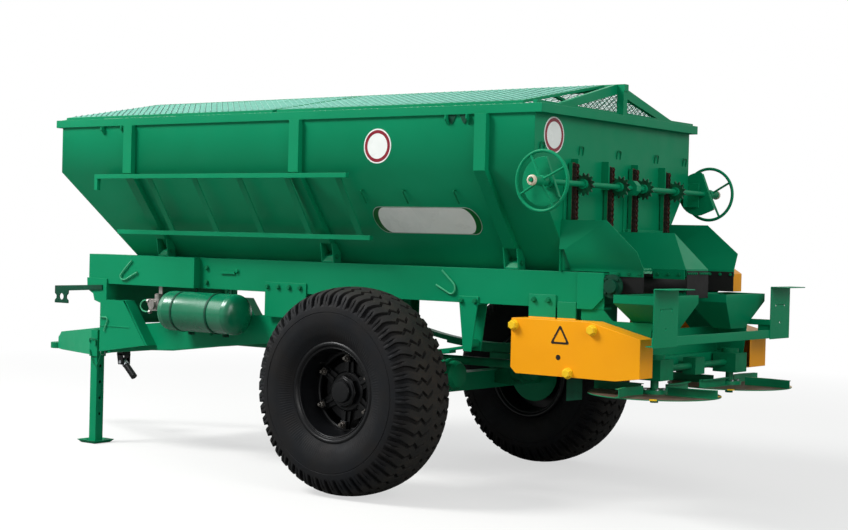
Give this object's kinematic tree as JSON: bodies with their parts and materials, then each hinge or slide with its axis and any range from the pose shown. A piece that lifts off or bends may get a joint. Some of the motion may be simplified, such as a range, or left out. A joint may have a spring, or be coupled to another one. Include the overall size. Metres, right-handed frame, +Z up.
{
  "type": "trailed hopper spreader with twin spreading discs",
  "caption": "Single-axle trailed farm spreader: open hopper with gabled mesh cover, floor conveyor, hand-wheel rear gates, and spinning discs under a divided chute.",
  "frame": {"origin": "On the floor, midway between the hitch eye's front and the discs' rearmost reach, on the machine's centre plane.", "axes": "+X points forwards to the hitch, +Y to the machine's left side, +Z up."},
  "size_m": [5.243, 2.208, 2.15],
  "materials": {
    "green_paint": "gloss paint",
    "yellow_paint": "gloss paint",
    "black_paint": "satin paint",
    "tyre": "matt",
    "rubber": "matt",
    "cast": "bare casting",
    "steel": "bare steel",
    "mesh": "gloss paint"
  },
  "bodies": {
    "chassis": {"air_tank": "green_paint", "axle": "green_paint", "brake_valve": "cast", "chain_guard_left": "yellow_paint", "chain_guard_right": "yellow_paint", "chute": "green_paint", "conveyor": "rubber", "cover_frame": "green_paint", "crossmembers": "green_paint", "disc_gearboxes": "cast", "drawbar": "green_paint", "drive_gearbox": "cast", "drive_shafts": "steel", "drive_yoke": "steel", "front_box_left": "green_paint", "front_box_right": "green_paint", "funnels": "green_paint", "gate_guides": "green_paint", "hitch_eye": "steel", "hopper": "green_paint", "hopper_rim": "green_paint", "hose_bracket": "green_paint", "jack_sleeve": "green_paint", "lamp_bracket": "green_paint", "leaf_springs": "green_paint", "rail_left": "green_paint", "rail_right": "green_paint", "rear_subframe": "green_paint", "riser_left": "green_paint", "riser_right": "green_paint", "rubber_flaps": "rubber", "shaft_brackets": "green_paint", "side_beam_left": "green_paint", "side_beam_right": "green_paint", "side_rack_left": "green_paint", "side_rack_right": "green_paint", "slope_ribs": "green_paint", "spring_beam": "green_paint", "spring_hangers": "green_paint", "tank_straps": "green_paint", "upper_guard": "yellow_paint", "wall_posts": "green_paint"},
    "wheel_left": {"tyre_left": "tyre", "rim_left": "black_paint", "hub_left": "black_paint"},
    "disc_left": {"spinner_left": "steel"},
    "gate_body_left": {"gate_left": "green_paint"},
    "handwheel_left": {"gate_shaft_left": "steel"},
    "cover_front_left": {"lid_front_left": "mesh"},
    "cover_rear_left": {"lid_rear_left": "mesh"},
    "wheel_right": {"tyre_right": "tyre", "rim_right": "black_paint", "hub_right": "black_paint"},
    "disc_right": {"spinner_right": "steel"},
    "gate_body_right": {"gate_right": "green_paint"},
    "handwheel_right": {"gate_shaft_right": "steel"},
    "cover_front_right": {"lid_front_right": "mesh"},
    "cover_rear_right": {"lid_rear_right": "mesh"},
    "jack": {"jack_leg": "green_paint"}
  },
  "joints": [
    {"name": "wheel_spin_left", "type": "hinge", "parent": "chassis", "child": "wheel_left", "pos_m": [-0.8085, 0.895, 0.535], "axis": [0, 1, 0], "continuous": true},
    {"name": "disc_spin_left", "type": "hinge", "parent": "chassis", "child": "disc_left", "pos_m": [-2.2835, 0.4, 0.6025], "axis": [0, 0, 1], "continuous": true},
    {"name": "gate_lift_left", "type": "slide", "parent": "chassis", "child": "gate_body_left", "axis": [0, 0, 1], "range_m": [0, 0.19]},
    {"name": "handwheel_turn_left", "type": "hinge", "parent": "chassis", "child": "handwheel_left", "pos_m": [-1.9035, 0.855, 1.612], "axis": [0, 1, 0], "range_deg": [-207.3, 1]},
    {"name": "cover_front_left_hinge", "type": "hinge", "parent": "chassis", "child": "cover_front_left", "pos_m": [0.7585, 0.031, 2.14], "axis": [1, 0, 0], "range_deg": [0, 80]},
    {"name": "cover_rear_left_hinge", "type": "hinge", "parent": "chassis", "child": "cover_rear_left", "pos_m": [-0.9285, 0.031, 2.14], "axis": [1, 0, 0], "range_deg": [0, 80]},
    {"name": "wheel_spin_right", "type": "hinge", "parent": "chassis", "child": "wheel_right", "pos_m": [-0.8085, -0.895, 0.535], "axis": [0, 1, 0], "continuous": true},
    {"name": "disc_spin_right", "type": "hinge", "parent": "chassis", "child": "disc_right", "pos_m": [-2.2835, -0.4, 0.6025], "axis": [0, 0, 1], "continuous": true},
    {"name": "gate_lift_right", "type": "slide", "parent": "chassis", "child": "gate_body_right", "axis": [0, 0, 1], "range_m": [0, 0.19]},
    {"name": "handwheel_turn_right", "type": "hinge", "parent": "chassis", "child": "handwheel_right", "pos_m": [-1.9035, -0.855, 1.612], "axis": [0, 1, 0], "range_deg": [-207.3, 1]},
    {"name": "cover_front_right_hinge", "type": "hinge", "parent": "chassis", "child": "cover_front_right", "pos_m": [0.7585, -0.031, 2.14], "axis": [-1, 0, 0], "range_deg": [0, 80]},
    {"name": "cover_rear_right_hinge", "type": "hinge", "parent": "chassis", "child": "cover_rear_right", "pos_m": [-0.9285, -0.031, 2.14], "axis": [-1, 0, 0], "range_deg": [0, 80]},
    {"name": "jack_slide", "type": "slide", "parent": "chassis", "child": "jack", "axis": [0, 0, 1], "range_m": [0, 0.28]}
  ],
  "couplings": [
    {"joint": "handwheel_turn_left", "follows": "gate_lift_left", "rad_per_m": -19.029},
    {"joint": "handwheel_turn_right", "follows": "gate_lift_right", "rad_per_m": -19.029}
  ]
}
